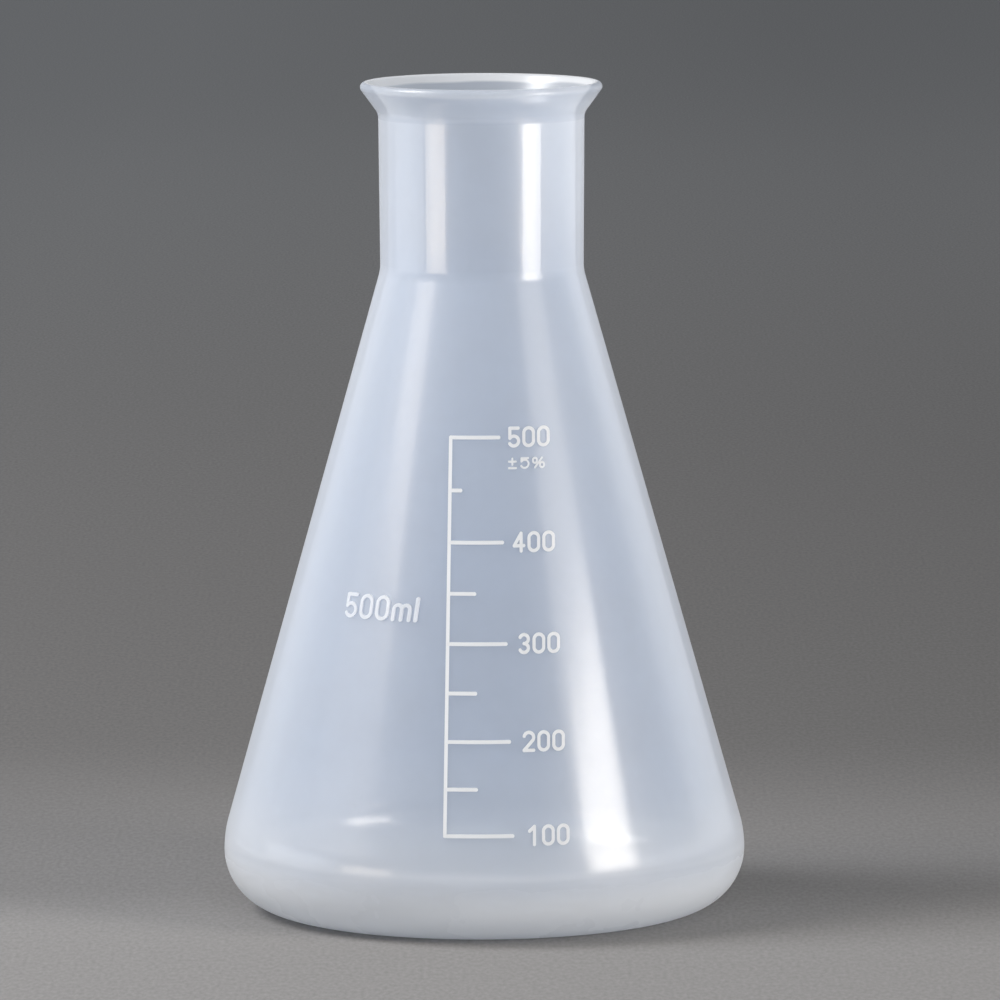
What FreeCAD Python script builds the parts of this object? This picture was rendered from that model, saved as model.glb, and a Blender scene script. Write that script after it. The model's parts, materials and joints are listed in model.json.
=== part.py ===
"""A 500 ml conical laboratory flask, moulded in translucent polypropylene.

The flask stands on the XY plane with its axis on Z, and its scale faces -Y. The wall is one turned
section. It is parted where the real moulding changes: a separate base dish, lapped and welded into
the foot of the cone, then the cone, the neck tube and the flared pouring rim. The scale's marks and
numerals are low ribs on the cone. All lengths are in millimetres and all angles in degrees.
"""
import FreeCAD, Part
import collections
import math
import os

V = FreeCAD.Vector

# Wall of the flask
height = 165.2                # bench to the top of the lip
body_diameter = 104.0         # widest ring of the body
foot_radius = 12.0            # outside rounding from the widest ring down to the foot
belly_rounding = 22.0         # outside rounding from the widest ring up to the cone
wall = 1.6                    # cone and neck wall
floor_thickness = 2.0         # floor over the hollow of the foot
foot_ring_width = 9.0         # flat ring that stands on the bench
foot_hollow = 1.0             # depth of the hollow inside that ring
hollow_rounding = 0.6         # both edges of the hollow
neck_bore_diameter = 37.2     # parallel bore, which takes a stopper
neck_length = 31.1            # from the corner with the cone to the corner with the flare
neck_draft = 0.25             # how much the outside of the neck widens towards the rim
shoulder_rounding = 9.0       # between cone and neck
rim_diameter = 48.0           # over the lip
lip_thickness = 2.0           # flared wall, rounded to a full bead at the lip
flare_height = 6.2            # from the neck's upper corner to the top of the lip
flare_rounding = 3.0          # between neck and flare

# Welded lap between the base dish and the cone
seam_height = 13.8            # outside joint line, above the bench
lap_height = 4.0              # tongue of the dish inside the foot of the cone
seam_groove = 0.2             # depth of the V at the joint line

# Raised scale on the cone
relief = 0.35                 # how far every mark stands proud of the wall
mark_width = 0.68
top_mark_drop = 30.4          # from the shoulder corner down to the top mark
foot_mark_rise = 8.1          # from the seam up to the lowest mark
interval_growth = 1.15        # top interval of the scale, against its lowest one
capacities = (100, 150, 200, 250, 300, 350, 400, 450, 500)
long_mark_step = 100

# Columns of the scale: X at the top mark and at the lowest one, as they lean outwards to the foot
spine_top = -6.2
spine_foot = -7.6
long_end_top = 3.2
long_end_foot = 5.6
short_end_top = -1.8
short_end_foot = -1.4
numeral_top = 4.9
numeral_foot = 8.4
highest_short_end = -4.3      # the highest short mark stops sooner than the others

# Lettering: height and width of a character over its strokes, space between two, stroke width
Letters = collections.namedtuple("Letters", "tall wide space stroke")
numeral_letters = Letters(tall=4.0, wide=2.5, space=0.4, stroke=0.62)
capacity_letters = Letters(tall=4.8, wide=3.1, space=0.7, stroke=0.66)
tolerance_letters = Letters(tall=2.2, wide=1.9, space=0.5, stroke=0.36)
tolerance_drop = 5.0          # from the top mark down to the tolerance under its numeral
capacity_turn = -32.0         # capacity and its unit, turned about the axis from the scale
capacity_rise = 6.3           # from the middle mark up to their line


def tangent_lean(corner, centre, radius):
    """Lean from upright of the line from a corner that touches the outside of a rounding."""
    across = centre[0] - corner[0]
    along = abs(centre[1] - corner[1])
    return math.atan2(across, along) + math.asin(radius / math.hypot(across, along))


# Lines of the wall that follow from the sizes
body_radius = body_diameter / 2
bore_radius = neck_bore_diameter / 2
foot_centre = (body_radius - foot_radius, foot_radius)
belly_centre = (body_radius - belly_rounding, foot_radius)
neck_foot_radius = bore_radius + wall
neck_top_radius = neck_foot_radius + neck_draft
flare_level = height - flare_height
shoulder_level = flare_level - neck_length
cone_lean = tangent_lean((neck_foot_radius, shoulder_level), belly_centre, belly_rounding)
lip_radius = lip_thickness / 2
lip_centre = (rim_diameter / 2 - lip_radius, height - lip_radius)
flare_lean = tangent_lean((neck_top_radius, flare_level), lip_centre, lip_radius)
floor_level = foot_hollow + floor_thickness
cone_foot_level = foot_radius + belly_rounding * math.sin(cone_lean)
neck_joint_level = shoulder_level + shoulder_rounding * math.tan(cone_lean / 2)
rim_joint_level = flare_level - flare_rounding * math.tan(flare_lean / 2)
beyond = height + body_diameter


def cone_radius(level, depth=0.0):
    """Radius of the cone's outside at a level, or of a parallel cone at a depth in its wall."""
    return neck_foot_radius + (shoulder_level - level) * math.tan(cone_lean) - depth / math.cos(cone_lean)


def cone_level(radius, depth=0.0):
    """Level at which that cone has a radius."""
    return shoulder_level - (radius - cone_radius(shoulder_level, depth)) / math.tan(cone_lean)


def outside_radius(level):
    """Outside radius of the body at a level on the cone, the belly or the foot rounding."""
    if level >= cone_foot_level:
        return cone_radius(level)
    centre, radius = (belly_centre, belly_rounding) if level >= foot_radius else (foot_centre, foot_radius)
    return centre[0] + math.sqrt(radius**2 - (level - foot_radius)**2)


def rounded_outline(corners):
    """Closed outline in the XZ plane through (x, z, rounding) corners."""
    count = len(corners)
    points = [V(x, 0, z) for x, z, rounding in corners]
    turns = []
    for i, (x, z, rounding) in enumerate(corners):
        if rounding == 0:
            turns.append((points[i], None, points[i]))
            continue
        back = (points[i - 1] - points[i]).normalize()
        ahead = (points[(i + 1) % count] - points[i]).normalize()
        inward = (back + ahead).normalize()
        half = back.getAngle(ahead) / 2
        reach = rounding / math.tan(half)
        nearest = points[i] + inward * (rounding / math.sin(half) - rounding)
        turns.append((points[i] + back * reach, nearest, points[i] + ahead * reach))
    edges = []
    for i, (start, nearest, end) in enumerate(turns):
        if nearest is not None:
            edges.append(Part.Arc(start, nearest, end).toShape())
        following = turns[(i + 1) % count][0]
        if not end.isEqual(following, Part.Precision.confusion()):
            edges.append(Part.LineSegment(end, following).toShape())
    return Part.Wire(edges)


def turned(corners):
    """Solid of revolution about Z from (radius, z, rounding) corners."""
    return Part.Face(rounded_outline(corners)).revolve(V(0, 0, 0), V(0, 0, 1), 360)


def between(low, high):
    """Wide disc between two levels, to part the wall with."""
    return Part.makeCylinder(beyond, high - low, V(0, 0, low))


def whole_wall():
    """The flask's wall in one piece, from the foot to the lip."""
    slope = (math.sin(flare_lean), math.cos(flare_lean))
    outer_lip = (lip_centre[0] + lip_radius * (slope[1] + slope[0]),
                 lip_centre[1] + lip_radius * (slope[1] - slope[0]))
    inner_lip = (outer_lip[0] - lip_thickness * slope[1], outer_lip[1] + lip_thickness * slope[0])
    inner_flare_level = inner_lip[1] - (inner_lip[0] - bore_radius) / math.tan(flare_lean)
    inner_shoulder_level = shoulder_level - wall * math.tan(cone_lean / 2)
    hollow_radius = foot_centre[0] - foot_ring_width
    inside_radius = body_radius - wall
    return turned([
        (0, foot_hollow, 0),
        (hollow_radius, foot_hollow, hollow_rounding),
        (hollow_radius + foot_hollow, 0, hollow_rounding),
        (body_radius, 0, foot_radius),
        (body_radius, cone_level(body_radius), belly_rounding),
        (neck_foot_radius, shoulder_level, shoulder_rounding),
        (neck_top_radius, flare_level, flare_rounding),
        (*outer_lip, lip_radius),
        (*inner_lip, lip_radius),
        (bore_radius, inner_flare_level, flare_rounding),
        (bore_radius, inner_shoulder_level, shoulder_rounding),
        (inside_radius, cone_level(inside_radius, wall), belly_rounding - wall),
        (inside_radius, floor_level, foot_radius - floor_level),
        (0, floor_level, 0)])


def wall_pieces():
    """The wall, parted into base dish, cone, neck and rim."""
    shell = whole_wall()
    seam_radius = outside_radius(seam_height)
    tongue_radius = seam_radius - wall / 2
    lap_top = seam_height + lap_height
    dish_zone = turned([
        (0, -beyond, 0),
        (beyond, -beyond, 0),
        (beyond, seam_height, 0),
        (tongue_radius, seam_height, 0),
        (tongue_radius - lap_height * math.tan(cone_lean), lap_top, 0),
        (0, lap_top, 0)])
    groove = turned([
        (seam_radius - seam_groove, seam_height, 0),
        (seam_radius + seam_groove, seam_height - 2 * seam_groove, 0),
        (seam_radius + seam_groove, seam_height + 2 * seam_groove, 0)])
    cone_zone = between(seam_height, neck_joint_level).cut(dish_zone)
    return {
        "base_dish": shell.common(dish_zone).cut(groove),
        "cone_wall": shell.common(cone_zone).cut(groove),
        "neck_tube": shell.common(between(neck_joint_level, rim_joint_level)),
        "flared_rim": shell.common(between(rim_joint_level, beyond))}


def relief_sleeve():
    """Thin sleeve on the straight stretch of the cone, as thick as the marks stand proud."""
    low = cone_foot_level
    high = shoulder_level - shoulder_rounding * math.tan(cone_lean / 2)
    return turned([
        (cone_radius(low), low, 0),
        (cone_radius(low, -relief), low, 0),
        (cone_radius(high, -relief), high, 0),
        (cone_radius(high), high, 0)])


def stadium(start, end, radius):
    """Outline at a radius round the line between two points of the XZ plane."""
    along = (end - start).normalize() * radius
    side = V(-along.z, 0, along.x)
    return Part.Wire([
        Part.LineSegment(start + side, end + side).toShape(),
        Part.Arc(end + side, end + along, end - side).toShape(),
        Part.LineSegment(end - side, start - side).toShape(),
        Part.Arc(start - side, start - along, start + side).toShape()])


def bar(start, end, width):
    """Straight stroke with round ends."""
    return Part.Face(stadium(start, end, width / 2))


def ring(start, end, radius, width):
    """Closed stroke round the line between two points."""
    outlines = [stadium(start, end, radius + width / 2), stadium(start, end, radius - width / 2)]
    return Part.makeFace(outlines, "Part::FaceMakerBullseye")


def arc(centre, radius, first, last):
    """Part of a circle in the XZ plane, from one angle to another."""
    angles = [math.radians(angle) for angle in (first, (first + last) / 2, last)]
    return Part.Arc(*[centre + V(math.cos(a), 0, math.sin(a)) * radius for a in angles]).toShape()


def bent(parts, width):
    """Stroke with round ends along points and arcs, joined in order by straight lines."""
    edges = []
    last = None
    for item in parts:
        is_arc = isinstance(item, Part.Edge)
        start = item.valueAt(item.FirstParameter) if is_arc else item
        if last is not None and not last.isEqual(start, Part.Precision.confusion()):
            edges.append(Part.LineSegment(last, start).toShape())
        if is_arc:
            edges.append(item)
        last = item.valueAt(item.LastParameter) if is_arc else item
    return Part.Wire(edges).makeOffset2D(width / 2, 0, True)


def glyph_strokes(character, left, foot, letters):
    """Strokes of one character, as faces in the XZ plane, and the character's width."""
    stroke = letters.stroke
    tall = letters.tall - stroke
    wide = letters.wide - stroke
    half = wide / 2

    def at(across, up):
        return V(left + stroke / 2 + across * wide, 0, foot + stroke / 2 + up * tall)

    bowl = at(0.5, 0) + V(0, 0, half)
    crown = at(0.5, 1) - V(0, 0, half)
    quarter = tall / 4
    if character == "0":
        return [ring(bowl, crown, half, stroke)], wide + stroke
    if character == "1":
        return [bent([at(0.1, 0.75), at(0.6, 1), at(0.6, 0)], stroke)], wide + stroke
    if character == "2":
        return [bent([arc(crown, half, 165, -35), at(0, 0), at(1, 0)], stroke)], wide + stroke
    if character == "3":
        upper = arc(at(0.5, 0.75), quarter, 155, -90)
        lower = arc(at(0.5, 0.25), quarter, 90, -155)
        return [bent([upper, lower], stroke)], wide + stroke
    if character == "4":
        arm = bent([at(0.72, 1), at(0, 0.3), at(1, 0.3)], stroke)
        return [arm, bar(at(0.72, 1), at(0.72, 0), stroke)], wide + stroke
    if character == "5":
        belly = arc(bowl, half, 145, -150)
        shoulder = V(belly.valueAt(belly.FirstParameter).x, 0, at(0, 1).z)
        return [bent([at(0.95, 1), shoulder, belly], stroke)], wide + stroke
    if character == "m":
        span = 0.7 * wide
        rise = V(0, 0, 0.68 * tall - span / 2)
        first = arc(at(0, 0) + V(span / 2, 0, 0) + rise, span / 2, 180, 0)
        second = arc(at(0, 0) + V(1.5 * span, 0, 0) + rise, span / 2, 180, 0)
        arch = bent([at(0, 0), first, at(0, 0) + V(span, 0, 0)], stroke)
        hump = bent([second, at(0, 0) + V(2 * span, 0, 0)], stroke)
        return [arch, hump], 2 * span + stroke
    if character == "l":
        return [bar(at(0, 0), at(0, 1), stroke)], stroke
    if character == "±":
        upright = bar(at(0.5, 0.35), at(0.5, 1), stroke)
        cross = bar(at(0.05, 0.68), at(0.95, 0.68), stroke)
        return [upright, cross, bar(at(0.05, 0), at(0.95, 0), stroke)], wide + stroke
    if character == "%":
        loop = wide / 4
        high = ring(at(0.25, 1) - V(0, 0, 1.5 * loop), at(0.25, 1) - V(0, 0, loop), loop, stroke)
        low = ring(at(1.15, 0) + V(0, 0, loop), at(1.15, 0) + V(0, 0, 1.5 * loop), loop, stroke)
        return [high, bar(at(0.25, 0), at(1.15, 1), stroke), low], 1.4 * wide + stroke
    raise ValueError("no strokes for " + character)


def raised(faces):
    """Strokes of one mark, drawn through to the cone and left standing proud of it."""
    solids = [face.extrude(V(0, -beyond, 0)) for face in faces]
    joined = solids[0].multiFuse(solids[1:]) if len(solids) > 1 else solids[0]
    return joined.common(sleeve).removeSplitter()


def raised_word(word, left, middle, letters):
    """A word in raised characters, from its left edge and the level of its middle."""
    solids = []
    for character in word:
        faces, width = glyph_strokes(character, left, middle - letters.tall / 2, letters)
        solids += raised(faces).Solids
        left += width + letters.space
    return Part.makeCompound(solids)


def word_length(word, letters):
    """Length of a word over its strokes."""
    widths = [glyph_strokes(character, 0, 0, letters)[1] for character in word]
    return sum(widths) + letters.space * (len(word) - 1)


def mark_levels():
    """Level of each mark, from the lowest up, with intervals that grow evenly."""
    foot = seam_height + foot_mark_rise
    top = shoulder_level - top_mark_drop
    intervals = len(capacities) - 1
    growth = (interval_growth - 1) / (intervals - 1)
    weights = [1 + growth * i for i in range(intervals)]
    return {capacity: foot + (top - foot) * sum(weights[:i]) / sum(weights)
            for i, capacity in enumerate(capacities)}


def scale_pieces():
    """Spine, marks and numerals of the scale, and the lettering beside it."""
    levels = mark_levels()
    top = levels[max(capacities)]
    foot = levels[min(capacities)]

    def column(at_top, at_foot, level):
        return V(at_foot + (at_top - at_foot) * (level - foot) / (top - foot), 0, level)

    spine_face = bar(column(spine_top, spine_foot, top), column(spine_top, spine_foot, foot), mark_width)
    spine = raised([spine_face])
    pieces = {"scale_spine": spine}
    highest_short = max(capacity for capacity in capacities if capacity % long_mark_step)
    for capacity, level in levels.items():
        start = column(spine_top, spine_foot, level)
        if capacity % long_mark_step == 0:
            name = "long_mark"
            end = column(long_end_top, long_end_foot, level)
            left = column(numeral_top, numeral_foot, level).x
            pieces[f"numeral_{capacity}"] = raised_word(str(capacity), left, level, numeral_letters)
        else:
            name = "short_mark"
            end = column(short_end_top, short_end_foot, level)
            if capacity == highest_short:
                end.x = highest_short_end
        pieces[f"{name}_{capacity}"] = raised([bar(start, end, mark_width)]).cut(spine)
    pieces["tolerance_mark"] = raised_word("±5%", numeral_top, top - tolerance_drop, tolerance_letters)

    line = levels[capacities[len(capacities) // 2]] + capacity_rise
    words = {"capacity_number": str(max(capacities)), "capacity_unit": "ml"}
    left = -word_length("".join(words.values()), capacity_letters) / 2
    for name, word in words.items():
        pieces[name] = raised_word(word, left, line, capacity_letters)
        pieces[name].rotate(V(0, 0, 0), V(0, 0, 1), capacity_turn)
        left += word_length(word, capacity_letters) + capacity_letters.space
    return pieces


sleeve = relief_sleeve()
os.makedirs("parts", exist_ok=True)
for name, shape in {**wall_pieces(), **scale_pieces()}.items():
    solids = shape.Solids
    body = solids[0] if len(solids) == 1 else Part.makeCompound(solids)
    body.exportStep(f"parts/{name}.step")
    print(f"{name}: {len(solids)} solid(s), {body.Volume:.1f} mm3, valid {body.isValid()}")
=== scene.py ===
# %% [markdown]
# A conical flask in milky plastic.
# The flask is a turned shell of translucent polypropylene with a raised scale. The solids come from
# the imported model, in metres, with the axis on Z and the scale facing -Y. This lesson gives the four
# wall pieces a smooth turned mesh and a milky see-through finish, dresses the raised marks, and sets
# up a plain studio round them.

# %% Load the fixed frame
import bpy
import bmesh
import json
import math
from mathutils import Matrix, Vector


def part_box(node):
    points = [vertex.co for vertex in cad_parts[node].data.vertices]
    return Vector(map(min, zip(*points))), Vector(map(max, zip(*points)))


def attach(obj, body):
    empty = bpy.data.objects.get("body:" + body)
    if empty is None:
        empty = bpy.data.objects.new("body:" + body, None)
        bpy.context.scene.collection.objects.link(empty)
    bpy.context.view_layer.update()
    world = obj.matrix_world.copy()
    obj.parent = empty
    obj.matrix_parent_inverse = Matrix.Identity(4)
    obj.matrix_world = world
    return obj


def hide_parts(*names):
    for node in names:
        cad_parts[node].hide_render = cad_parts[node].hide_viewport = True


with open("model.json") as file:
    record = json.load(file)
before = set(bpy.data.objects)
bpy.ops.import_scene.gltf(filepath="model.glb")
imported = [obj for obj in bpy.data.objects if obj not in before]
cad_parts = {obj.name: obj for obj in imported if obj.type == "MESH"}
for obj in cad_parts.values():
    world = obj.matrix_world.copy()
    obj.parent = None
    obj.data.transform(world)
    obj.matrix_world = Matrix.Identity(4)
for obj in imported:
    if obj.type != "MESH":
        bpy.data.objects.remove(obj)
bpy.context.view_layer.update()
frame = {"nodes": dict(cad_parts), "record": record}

# %% [markdown]
# The wall's section.
# A moulded flask is a body of revolution, so its shape is one outline of radius against height. It
# could be drawn by hand as a curve, but then its sizes are hard to read and to change. Here the outside
# sizes are read from the frame, and the rest are the moulding's own roundings and thicknesses. Corner
# points with a rounding each are enough, and the arcs between them are worked out.

# %% Sizes read from the frame
mm = 0.001
dish_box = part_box("base_dish")
neck_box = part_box("neck_tube")
rim_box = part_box("flared_rim")
mounts = {mount["name"]: mount for mount in frame["record"]["mounts"]}

body_radius = dish_box[1].x
rim_radius = rim_box[1].x
top_level = rim_box[1].z
neck_joint_level = neck_box[0].z
rim_joint_level = neck_box[1].z
neck_top_radius = neck_box[1].x
bore_radius = mounts["neck_bore"]["dims"]["r_mm"] * mm
print("body radius", round(body_radius, 4), "bore radius", bore_radius, "top", round(top_level, 4))

# %% Sizes of the moulding
wall = 1.6 * mm
neck_foot_radius = bore_radius + wall
foot_rounding = 12.0 * mm
belly_rounding = 22.0 * mm
shoulder_rounding = 9.0 * mm
flare_rounding = 3.0 * mm
flare_height = 6.2 * mm
neck_length = 31.1 * mm
lip_radius = 1.0 * mm
floor_level = 3.0 * mm
foot_hollow = 1.0 * mm
foot_ring_width = 9.0 * mm
hollow_rounding = 0.6 * mm
seam_level = 13.8 * mm
flare_level = top_level - flare_height
shoulder_level = flare_level - neck_length
print("flare starts at", round(flare_level, 4), "and the shoulder is at", round(shoulder_level, 4))


# %% Lines that touch two roundings
def tangent_lean(corner, centre, radius):
    """Lean from upright of a line from a corner that touches the outside of a rounding."""
    across = centre[0] - corner[0]
    along = abs(centre[1] - corner[1])
    return math.atan2(across, along) + math.asin(radius / math.hypot(across, along))


belly_centre = (body_radius - belly_rounding, foot_rounding)
lip_centre = (rim_radius - lip_radius, top_level - lip_radius)
cone_lean = tangent_lean((neck_foot_radius, shoulder_level), belly_centre, belly_rounding)
flare_lean = tangent_lean((neck_top_radius, flare_level), lip_centre, lip_radius)


def cone_radius(level, depth=0.0):
    """Radius of the cone's outside at a level, or of a parallel cone at a depth in its wall."""
    outside = neck_foot_radius + (shoulder_level - level) * math.tan(cone_lean)
    return outside - depth / math.cos(cone_lean)


def cone_level(radius, depth=0.0):
    """Level at which that cone has a radius."""
    return shoulder_level - (radius - cone_radius(shoulder_level, depth)) / math.tan(cone_lean)


print("cone leans", round(math.degrees(cone_lean), 2), "and flare", round(math.degrees(flare_lean), 2))

# %% An outline with rounded corners
arc_step = math.radians(3)
arc_end_share = 0.15
longest_edge = 3 * mm
same_point = 1e-7


def corner_arc(before, corner, after, rounding):
    """Points of the arc that rounds a corner, with one more close to each end for even shading."""
    back = (before - corner).normalized()
    ahead = (after - corner).normalized()
    half = back.angle(ahead) / 2
    inward = (back + ahead).normalized()
    centre = corner + inward * (rounding / math.sin(half))
    start = corner + back * (rounding / math.tan(half)) - centre
    turn = math.copysign(math.pi - 2 * half, back.x * ahead.y - back.y * ahead.x)
    steps = max(3, math.ceil(abs(turn) / arc_step))
    stops = [0, arc_end_share, *range(1, steps), steps - arc_end_share, steps]
    return [centre + Matrix.Rotation(-turn * stop / steps, 2) @ start for stop in stops]


def rounded_run(corners):
    """Points through (radius, level, rounding) corners, with long straight runs divided."""
    points = [Vector((radius, level)) for radius, level, rounding in corners]
    run = [points[0]]
    for i in range(1, len(corners) - 1):
        run += corner_arc(points[i - 1], points[i], points[i + 1], corners[i][2])
    run.append(points[-1])
    divided = [run[0]]
    for point in run[1:]:
        start = divided[-1]
        gap = (point - start).length
        if gap < same_point:
            continue
        pieces = math.ceil(gap / longest_edge)
        divided += [start.lerp(point, k / pieces) for k in range(1, pieces + 1)]
    return divided


# %% The whole outline
def whole_outline():
    """The wall's outline from the middle of the foot, over the lip, to the middle of the floor."""
    rise, run = math.cos(flare_lean), math.sin(flare_lean)
    outer_lip = (lip_centre[0] + lip_radius * (rise + run), lip_centre[1] + lip_radius * (rise - run))
    inner_lip = (outer_lip[0] - 2 * lip_radius * rise, outer_lip[1] + 2 * lip_radius * run)
    inner_flare_level = inner_lip[1] - (inner_lip[0] - bore_radius) / math.tan(flare_lean)
    inner_shoulder_level = shoulder_level - wall * math.tan(cone_lean / 2)
    hollow_radius = body_radius - foot_rounding - foot_ring_width
    inside_radius = body_radius - wall
    return rounded_run([
        (0, foot_hollow, 0),
        (hollow_radius, foot_hollow, hollow_rounding),
        (hollow_radius + foot_hollow, 0, hollow_rounding),
        (body_radius, 0, foot_rounding),
        (body_radius, cone_level(body_radius), belly_rounding),
        (neck_foot_radius, shoulder_level, shoulder_rounding),
        (neck_top_radius, flare_level, flare_rounding),
        (*outer_lip, lip_radius),
        (*inner_lip, lip_radius),
        (bore_radius, inner_flare_level, flare_rounding),
        (bore_radius, inner_shoulder_level, shoulder_rounding),
        (inside_radius, cone_level(inside_radius, wall), belly_rounding - wall),
        (inside_radius, floor_level, foot_rounding - floor_level),
        (0, floor_level, 0)])


outline = whole_outline()
highest = max(range(len(outline)), key=lambda i: outline[i].y)
outside = outline[:highest + 1]
inside = outline[highest:][::-1]
print("outline points:", len(outside), "outside,", len(inside), "inside")

# %% [markdown]
# Turning the section into pieces.
# The flask is a body and a base dish welded together, and its wall is parted at the same levels as the
# solids: dish, cone, neck and rim. A Screw modifier could turn the outline too. Here each piece is built
# ring by ring in bmesh, because then it is a closed mesh of even quads that shades smoothly, and the
# faces where two pieces meet are known. The welded seam is flush, so the outline runs on across it.


# %% Part a run at a level
def between(run, low, high):
    """The stretch of a rising run between two levels, with points added exactly on them."""
    def crossing(level):
        i = max(k for k in range(len(run) - 1) if run[k].y < level <= run[k + 1].y)
        share = (level - run[i].y) / (run[i + 1].y - run[i].y)
        return i + 1, run[i].lerp(run[i + 1], share)

    start, first = (0, None) if low is None else crossing(low)
    end, last = (len(run), None) if high is None else crossing(high)
    stretch = [first] + run[start:end] + [last]
    stretch = [point for point in stretch if point is not None]
    return [p for k, p in enumerate(stretch) if k == 0 or (p - stretch[k - 1]).length > same_point]


# %% Turn a section about the axis
sectors = 192
on_axis = 1e-6
wall_finish, joint_finish, inside_finish = 0, 1, 2


def turned_shape(section, joints):
    """A closed bmesh turned about Z. Joints are the section points that joint faces start from."""
    shape = bmesh.new()
    rings = []
    for point in section:
        count = 1 if point.x < on_axis else sectors
        angles = [2 * math.pi * k / sectors for k in range(count)]
        spots = [(point.x * math.sin(a), -point.x * math.cos(a), point.y) for a in angles]
        rings.append([shape.verts.new(spot) for spot in spots])
    for i, ring in enumerate(rings):
        following = rings[(i + 1) % len(rings)]
        if len(ring) == len(following) == 1:
            continue
        for k in range(sectors):
            corners = [ring[k % len(ring)], ring[(k + 1) % len(ring)],
                       following[(k + 1) % len(following)], following[k % len(following)]]
            face = shape.faces.new(list(dict.fromkeys(corners)))
            face.smooth = i not in joints
            face.material_index = joint_finish if i in joints else wall_finish
    bmesh.ops.recalc_face_normals(shape, faces=shape.faces)
    for edge in shape.edges:
        edge.smooth = len({face.material_index for face in edge.link_faces}) == 1
    return shape


def turned_piece(name, section, joints, node):
    """A piece of the wall as an object that stands in for a node of the frame."""
    mesh = bpy.data.meshes.new(name)
    shape = turned_shape(section, joints)
    shape.to_mesh(mesh)
    shape.free()
    piece = bpy.data.objects.new(name, mesh)
    bpy.context.collection.objects.link(piece)
    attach(piece, "root")
    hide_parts(node)
    print(name, "has", len(mesh.polygons), "faces")
    return piece


# %% Base dish and cone
dish_outside = between(outside, None, seam_level)
dish_inside = between(inside, None, seam_level)
base_dish = turned_piece("dish", dish_outside + dish_inside[::-1], {len(dish_outside) - 1}, "base_dish")

cone_outside = between(outside, seam_level, neck_joint_level)
cone_inside = between(inside, seam_level, neck_joint_level)
cone_section = cone_outside + cone_inside[::-1]
cone = turned_piece("cone", cone_section, {len(cone_outside) - 1, len(cone_section) - 1}, "cone_wall")

# %% Neck and rim
neck_outside = between(outside, neck_joint_level, rim_joint_level)
neck_inside = between(inside, neck_joint_level, rim_joint_level)
neck_section = neck_outside + neck_inside[::-1]
neck = turned_piece("neck", neck_section, {len(neck_outside) - 1, len(neck_section) - 1}, "neck_tube")

rim_section = between(outside, rim_joint_level, None) + between(inside, rim_joint_level, None)[::-1][1:]
rim = turned_piece("rim", rim_section, {len(rim_section) - 1}, "flared_rim")

# %% [markdown]
# The milky plastic.
# Natural polypropylene is clear and cloudy at once: light goes straight through, and crystals in the
# wall scatter a bluish haze on the way. A volume shader would be truest, but it is slow and noisy in so
# thin a wall. So each face of the wall carries the haze itself, as a mix of see-through, matt and
# translucent shaders. Where the plastic is thick, as in the foot, or seen edge-on, the mix turns to a
# whiter milk.


# %% Helpers for shader nodes
def new_material(name):
    """An empty node material and a function that adds a node with its settings and inputs."""
    material = bpy.data.materials.new(name)
    material.use_nodes = True
    tree = material.node_tree
    tree.nodes.clear()

    def add(kind, inputs=None, **settings):
        node = tree.nodes.new("ShaderNode" + kind)
        for setting, value in settings.items():
            setattr(node, setting, value)
        for socket, value in (inputs or {}).items():
            if isinstance(value, bpy.types.NodeSocket):
                tree.links.new(value, node.inputs[socket])
            else:
                node.inputs[socket].default_value = value
        return node

    return material, add


def worked_out(add, operation, *values):
    """A Math node's result for two or three values."""
    return add("Math", dict(enumerate(values)), operation=operation).outputs[0]


def mixed(add, share, first, second):
    """Two shaders mixed, with a share of the second."""
    return add("MixShader", {0: share, 1: first, 2: second}).outputs[0]


# %% Helpers for uneven and graded values
noise_low, noise_high = 0.3, 0.7


def noise(add, place, scale, detail, **more):
    """Noise of a scale, in cycles per metre."""
    return add("TexNoise", {"Vector": place, "Scale": scale, "Detail": detail, **more}).outputs["Fac"]


def stretched(add, value, first, last, low=noise_low, high=noise_high):
    """A value that runs from low to high, stretched to run from first to last."""
    return add("MapRange", {"Value": value, "From Min": low, "From Max": high,
                            "To Min": first, "To Max": last}).outputs[0]


def graded(add, value, zones):
    """Sum of smooth steps. Each zone goes from a first value at its start to a last one at its end."""
    total = None
    for start, end, first, last in zones:
        step = add("MapRange", {"Value": value, "From Min": start, "From Max": end,
                                "To Min": first, "To Max": last}, interpolation_type="SMOOTHSTEP").outputs[0]
        total = step if total is None else worked_out(add, "ADD", total, step)
    return total


# %% Haze and milk
haze = 0.29
haze_colour = (0.655, 0.775, 0.985, 1)
haze_glow_share = 0.5
clear_tint = (1.0, 0.992, 0.98, 1)
haze_spread = 0.1
border_ripple = 0.6 * mm
swirl_scale = 28.0


def milk(add, colour, glow_share):
    """A matt shader with a share of a translucent one, which hands on the light from behind."""
    matt = add("BsdfDiffuse", {"Color": colour}).outputs[0]
    glow = add("BsdfTranslucent", {"Color": colour}).outputs[0]
    return mixed(add, glow_share, matt, glow)


def thin_wall(add, cloud):
    """See-through plastic with a bluish, slightly uneven haze."""
    density = stretched(add, cloud, (1 - haze_spread) * haze, (1 + haze_spread) * haze)
    clear = add("BsdfTransparent", {"Color": clear_tint}).outputs[0]
    return mixed(add, density, clear, milk(add, haze_colour, haze_glow_share))


def thick_share(add, place, height, slant, zones, edge_gain):
    """Share of milk: by level, with a slightly wavy border, and more where a face is seen at a slant."""
    ripple = stretched(add, noise(add, place, swirl_scale, detail=2.0), -border_ripple, border_ripple)
    flat_on = graded(add, worked_out(add, "ADD", height, ripple), zones)
    rest = worked_out(add, "SUBTRACT", 1.0, flat_on)
    slanted = worked_out(add, "MULTIPLY", slant, slant)
    gain = worked_out(add, "MULTIPLY", slanted, edge_gain)
    return worked_out(add, "MULTIPLY_ADD", rest, gain, flat_on)


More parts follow.
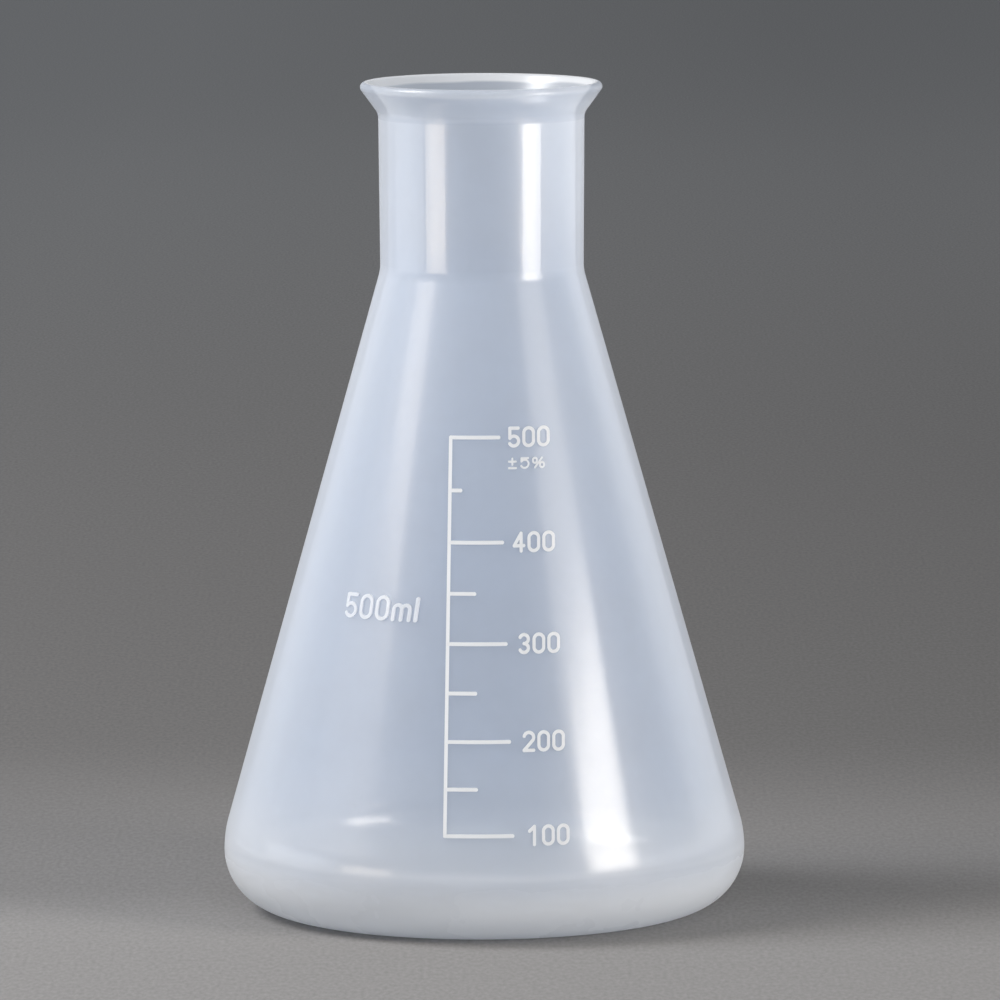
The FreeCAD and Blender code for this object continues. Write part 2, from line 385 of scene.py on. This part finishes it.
# %% [markdown]
# The skin.
# A moulded flask mirrors lamps in bright bars with soft borders, because its skin is smooth but finely
# grained. One gloss alone is either too crisp or too dull, so a faint broad gloss lies under a sharper
# one, both stronger at a slant, with fine pores as a bump. The foot is duller than the cone, and the
# change runs over a few millimetres, so that no line shows at the seam.

# %% Skin
soft_roughness = 0.42
soft_gloss, soft_edge_gloss = 0.05, 0.2
edge_gloss = 0.3
dull_below, polished_above = 10 * mm, 17 * mm
slant_power = 5.0
polish_spread = 0.12
pore_depth = 0.2 * mm
pore_scale = 2200.0


def glossy_skin(add, body, place, height, cloud, slant, rough, foot_rough, gloss, grain):
    """A broad and a sharp gloss over the body's shader."""
    pores = noise(add, place, pore_scale, detail=2.0)
    skin = add("Bump", {"Height": pores, "Strength": grain, "Distance": pore_depth}).outputs["Normal"]
    polish = graded(add, height, ((dull_below, polished_above, foot_rough, rough),))
    uneven = stretched(add, cloud, 1 - polish_spread, 1 + polish_spread)
    roughness = worked_out(add, "MULTIPLY", polish, uneven)
    rise = worked_out(add, "POWER", slant, slant_power)
    soft = add("BsdfGlossy", {"Roughness": soft_roughness, "Normal": skin}).outputs[0]
    bright = add("BsdfGlossy", {"Roughness": roughness, "Normal": skin}).outputs[0]
    sheen = mixed(add, stretched(add, rise, soft_gloss, soft_edge_gloss, 0, 1), body, soft)
    return mixed(add, stretched(add, rise, gloss, edge_gloss, 0, 1), sheen, bright)


# %% Milky plastic as a material
wall_white = (0.945, 0.958, 0.972, 1)
cloud_scale = 45.0


def milky_plastic(name, zones, edge_gain=0.46, glow_share=0.6, rough=0.11, foot_rough=None, gloss=0.035,
                  grain=0.07, white=wall_white):
    """Hazy plastic. The zones give the share of thick plastic by level, in metres."""
    material, add = new_material(name)
    place = add("TexCoord").outputs["Object"]
    height = add("SeparateXYZ", {"Vector": place}).outputs["Z"]
    slant = add("LayerWeight", {"Blend": 0.5}).outputs["Facing"]
    cloud = noise(add, place, cloud_scale, detail=4.0, Roughness=0.55)
    share = thick_share(add, place, height, slant, zones, edge_gain)
    body = mixed(add, share, thin_wall(add, cloud), milk(add, white, glow_share))
    surface = glossy_skin(add, body, place, height, cloud, slant, rough, foot_rough or rough, gloss, grain)
    add("OutputMaterial", {"Surface": surface})
    return material


# %% [markdown]
# Finishes of the pieces.
# Dish and cone are one plastic, thick in the foot and thinning out above the seam, where a faint paler
# band shows the weld. They could be two materials, but any difference would draw a line at the seam, so
# they share one that changes with the level. The neck is smoother than the body, and the rim a little
# duller. The lip is a thick bead, so its inside is milkier. The inside of the dish hands on more light
# and is glossier, so that the foot glows.

# %% Body, neck and rim
foot_white = (0.965, 0.982, 1.0, 1)
foot_zones = ((5.5 * mm, 14.5 * mm, 0.98, 0.28), (14 * mm, 28 * mm, 0.0, -0.22))
seam_zones = ((seam_level - 1.0 * mm, seam_level, 0.0, 0.06), (seam_level, seam_level + 1.6 * mm, 0.0, -0.06))
cone_zone = (60 * mm, neck_joint_level, 0.0, 0.06)
body_plastic = milky_plastic("milky_body", (*foot_zones, *seam_zones, cone_zone), edge_gain=0.48,
                             foot_rough=0.28, white=foot_white)

neck_zone = (neck_joint_level, 140 * mm, 0.12, 0.15)
neck_plastic = milky_plastic("milky_neck", (neck_zone,), rough=0.055, grain=0.02)

rim_zone = (rim_joint_level, top_level, 0.13, 0.05)
rim_plastic = milky_plastic("milky_rim", (rim_zone,), edge_gain=0.3, rough=0.17, gloss=0.025, grain=0.02)

# %% Inside of the dish and of the lip
floor_plastic = milky_plastic("milky_dish_inside", (*foot_zones, *seam_zones), edge_gain=0.6, glow_share=0.8,
                              rough=0.13, gloss=0.2, white=foot_white)

lip_zone = (top_level - 2.0 * mm, top_level - 1.4 * mm, 0.12, 0.6)
lip_plastic = milky_plastic("milky_lip", (lip_zone,), glow_share=0.12, rough=0.2, gloss=0.04)

joint_face, add = new_material("joint_face")
add("OutputMaterial", {"Surface": add("BsdfTransparent").outputs[0]})
print("materials:", len(bpy.data.materials))

# %% [markdown]
# Dressing the wall.
# The faces where two pieces meet lie inside the plastic, where nothing shows. Deleting them would leave
# the pieces open, so they stay and get a clear material, and the wall looks whole. The inside finishes go
# on by asking each face where it looks: to the axis or straight up is inside.

# %% Dress the wall pieces
dressed = ((base_dish, body_plastic), (cone, body_plastic), (neck, neck_plastic), (rim, rim_plastic))
for piece, plastic in dressed:
    piece.data.materials.append(plastic)
    piece.data.materials.append(joint_face)

facing_up = 0.99


def line_inside(piece, plastic, lowest):
    """Gives another finish to the faces on the inside of a piece, above a level."""
    piece.data.materials.append(plastic)
    lined = 0
    for face in piece.data.polygons:
        outward = face.normal.x * face.center.x + face.normal.y * face.center.y
        faces_in = outward < 0 or face.normal.z > facing_up
        if faces_in and face.center.z > lowest and face.material_index == wall_finish:
            face.material_index = inside_finish
            lined += 1
    print(piece.name, "has", lined, "faces lined with", plastic.name)


just_under_floor = floor_level - 0.1 * mm
line_inside(rim, lip_plastic, flare_level)
line_inside(base_dish, floor_plastic, just_under_floor)

# %% [markdown]
# Raised marks.
# The scale, its numerals and the capacity are ribs cut into the mould, a third of a millimetre proud of
# the wall. They could be a bump in the wall's material, but real ribs catch the light at their borders,
# so the solids' own meshes stay. A rib is thicker than the wall, so it is milkier. The capacity is fainter.

# %% Marks in thicker plastic
raised_share, faint_share = 0.85, 0.5
mark_glow = 0.3
raised_plastic = milky_plastic("raised_marks", ((0, 1, raised_share, raised_share),), glow_share=mark_glow)
faint_plastic = milky_plastic("faint_marks", ((0, 1, faint_share, faint_share),), glow_share=mark_glow)
marks = [node for node in frame["nodes"].values() if not node.hide_render]
for mark in marks:
    faint = mark.name.startswith("capacity")
    mark.data.materials.clear()
    mark.data.materials.append(faint_plastic if faint else raised_plastic)
print("raised marks:", len(marks))

# %% [markdown]
# Paper floor.
# The flask stands on a wide sheet of grey paper, which is all that the camera sees round it. A separate
# backdrop would show a fold, so one sheet runs far out on all sides. Its tone is painted light: a painted
# pool of light in front of the flask, the darkest tone a little behind it, paler again far away to make up
# for the lamps' falloff, and a painted falloff to the right, away from the key.
# Noise that is drawn out along the sheet gives it a fibrous grain. It lies a hair under the foot, so that
# no two faces coincide.

# %% Painted light in the paper's tone
paper_tint = (1.02, 1.008, 1.018)
# Painted light by depth: a pool of light in front, darkest a little behind, paler far off to make up for the
# lamps' falloff.
painted_light_tones = ((-0.025, 0.03, 0.264, 0.216), (0.05, 0.24, 0, -0.063), (0.2, 1.95, 0, 0.242))
# Painted falloff of the key's light towards the right.
painted_fall_left, painted_fall_right = 1.06, 0.875
painted_fall_reach = 0.15
fibre_stretch = (1.0, 0.35, 1.0)
fibre_scale = 1200.0
speckle_spread = 0.24
paper_roughness = 0.6


def grey_paper():
    """Matt paper with a fine grain, whose tone is painted light: graded by depth and falling off to the
    right.
    """
    material, add = new_material("grey_paper")
    place = add("TexCoord").outputs["Object"]
    drawn = add("VectorMath", {0: place, 1: fibre_stretch}, operation="MULTIPLY").outputs[0]
    fibre = noise(add, drawn, fibre_scale, detail=3.0)
    speckle = stretched(add, fibre, 1 - speckle_spread, 1 + speckle_spread, 0, 1)
    spot = add("SeparateXYZ", {"Vector": place})
    # Painted light: the tone by depth, then a painted falloff towards the right.
    painted_depth_tone = graded(add, spot.outputs["Y"], painted_light_tones)
    painted_side_falloff = stretched(add, spot.outputs["X"], painted_fall_left, painted_fall_right, -painted_fall_reach, painted_fall_reach)
    painted_paper_tone = worked_out(add, "MULTIPLY", painted_depth_tone, painted_side_falloff)
    tone = worked_out(add, "MULTIPLY", painted_paper_tone, speckle)
    colour = add("VectorMath", {0: paper_tint, "Scale": tone}, operation="SCALE").outputs[0]
    paper = add("BsdfDiffuse", {"Color": colour, "Roughness": paper_roughness}).outputs[0]
    add("OutputMaterial", {"Surface": paper})
    return material


# %% Sheet of paper
paper_reach = 8.0
paper_level = -0.05 * mm


def paper_floor():
    """A square sheet under the flask."""
    mesh = bpy.data.meshes.new("paper_floor")
    corners = ((-1, -1), (1, -1), (1, 1), (-1, 1))
    spots = [(paper_reach * across, paper_reach * along, paper_level) for across, along in corners]
    mesh.from_pydata(spots, [], [(0, 1, 2, 3)])
    mesh.materials.append(grey_paper())
    floor = bpy.data.objects.new("paper_floor", mesh)
    bpy.context.collection.objects.link(floor)
    return floor


sheet = paper_floor()
print(sheet.name, "reaches", paper_reach, "m from the flask")

# %% [markdown]
# Softboxes.
# In a studio the bright bars on a flask are mirror images of softboxes, so the lamps' sizes and places
# follow from the bars. Cards of glowing mesh could do it, but area lamps are sampled more cleanly. The
# upright neck mirrors what is close to the table, and the leaning cone what stands higher. So on the
# right one strip is seen in the neck and in parts of the cone, with a weaker glow above it for the rest.
# On the left the neck mirrors a low card, and the cone a high strip in its upper half and a broad glow.

# %% A softbox
flask_middle = (0, 0, 0.08)


def softbox(name, azimuth, elevation, distance, width, tall, power, colour=(1, 1, 1), beam=120,
            aim=flask_middle):
    """An area lamp that faces its aim. Azimuth is counted from the camera's side, to the right."""
    lamp = bpy.data.lights.new(name, "AREA")
    lamp.shape = "RECTANGLE"
    lamp.size = width
    lamp.size_y = tall
    lamp.energy = power
    lamp.spread = math.radians(beam)
    lamp.color = colour
    light = bpy.data.objects.new(name, lamp)
    across, up = math.radians(azimuth), math.radians(elevation)
    out = Vector((math.sin(across) * math.cos(up), -math.cos(across) * math.cos(up), math.sin(up)))
    light.location = Vector(aim) + out * distance
    light.rotation_euler = out.to_track_quat("Z", "Y").to_euler()
    bpy.context.collection.objects.link(light)


# %% Strips that draw the bars
softbox("right_strip", azimuth=58, elevation=6.64, distance=0.8, width=0.32, tall=0.285, power=1.42,
        colour=(1, 0.935, 0.86))
softbox("right_glow", azimuth=56, elevation=22, distance=0.85, width=0.4, tall=0.2, power=0.19,
        colour=(1, 0.95, 0.88))
softbox("left_strip", azimuth=-67, elevation=36.5, distance=1.15, width=0.42, tall=0.74, power=1.74,
        colour=(1, 0.91, 0.81))
softbox("left_glow", azimuth=-72, elevation=15.5, distance=1.1, width=0.7, tall=0.2, power=0.14,
        colour=(1, 0.94, 0.87))
softbox("left_card", azimuth=-53, elevation=-1.8, distance=1.0, width=0.42, tall=0.10, power=0.33,
        colour=(1, 0.87, 0.72))

# %% [markdown]
# Key, panels and cards.
# The rest of a studio is a key, which throws the shadow, and pale panels and cards round the object. One
# bright world would be less work, but it would wash out the shadow and the dark parts between the bars.
# So a key stands high on the left and a fill high in front, two panels behind lighten the edges, low cards
# stand at the sides and before the foot, and two cards lie on the table facing up, where the flare of the
# rim mirrors them. The world adds a little even, bluish light.

# %% Side cards, key, panels and fill
softbox("left_low_card", azimuth=-90, elevation=-1.5, distance=0.75, width=0.6, tall=0.12, power=0.2)
softbox("right_low_card", azimuth=90, elevation=-1.5, distance=0.75, width=0.6, tall=0.12, power=0.11)
softbox("left_key", azimuth=-88, elevation=46, distance=1.2, width=0.42, tall=0.55, power=4.45)
softbox("left_panel", azimuth=-130, elevation=12.4, distance=1.02, width=0.42, tall=0.6, power=0.115)
softbox("right_panel", azimuth=129, elevation=11, distance=0.85, width=0.56, tall=0.48, power=0.36)
softbox("front_fill", azimuth=8, elevation=48, distance=1.4, width=0.6, tall=0.4, power=0.47)

# %% Cards at the foot and on the table
softbox("front_low_card", azimuth=0, elevation=0, distance=0.2, width=0.5, tall=0.03, power=0.025,
        aim=(0, 0, 0.015))
softbox("front_bounce", azimuth=0, elevation=-90, distance=0.2, width=0.5, tall=0.14, power=0.24, beam=180,
        aim=(0, -0.22, 0.205))
softbox("left_bounce", azimuth=0, elevation=-90, distance=0.2, width=0.25, tall=0.5, power=0.6, beam=180,
        aim=(-0.30, -0.05, 0.205))
print("softboxes:", len(bpy.data.lights))

# %% World
air_colour = (0.9, 0.95, 1.0, 1)
air_strength = 0.315
world = bpy.data.worlds.new("studio_air")
world.use_nodes = True
air = world.node_tree.nodes["Background"]
air.inputs["Color"].default_value = air_colour
air.inputs["Strength"].default_value = air_strength
bpy.context.scene.world = world
print("world strength", air_strength)

# %% [markdown]
# The camera.
# The photograph looks as if it was taken from far off with a long lens, slightly from above, so the
# flask's outline is nearly free of perspective. A camera could be aimed by a Track To constraint, but
# plain distances and angles are easier to fit to an outline, one at a time.

# %% Camera
camera_distance = 1.742
camera_height = 0.293
camera_aside = 0.0034
look_down = math.radians(6.917)
roll = math.radians(-0.23)
camera_data = bpy.data.cameras.new("camera")
camera_data.lens = 317.1
camera_data.sensor_width = 36.0
camera = bpy.data.objects.new("camera", camera_data)
camera.location = (camera_aside, -camera_distance, camera_height)
tilt = Matrix.Rotation(math.pi / 2 - look_down, 3, "X") @ Matrix.Rotation(roll, 3, "Z")
camera.rotation_euler = tilt.to_euler()
bpy.context.collection.objects.link(camera)
bpy.context.scene.camera = camera
bpy.context.scene.view_settings.view_transform = "Standard"
print("camera at", [round(v, 4) for v in camera.location], "with a lens of", round(camera_data.lens, 1))
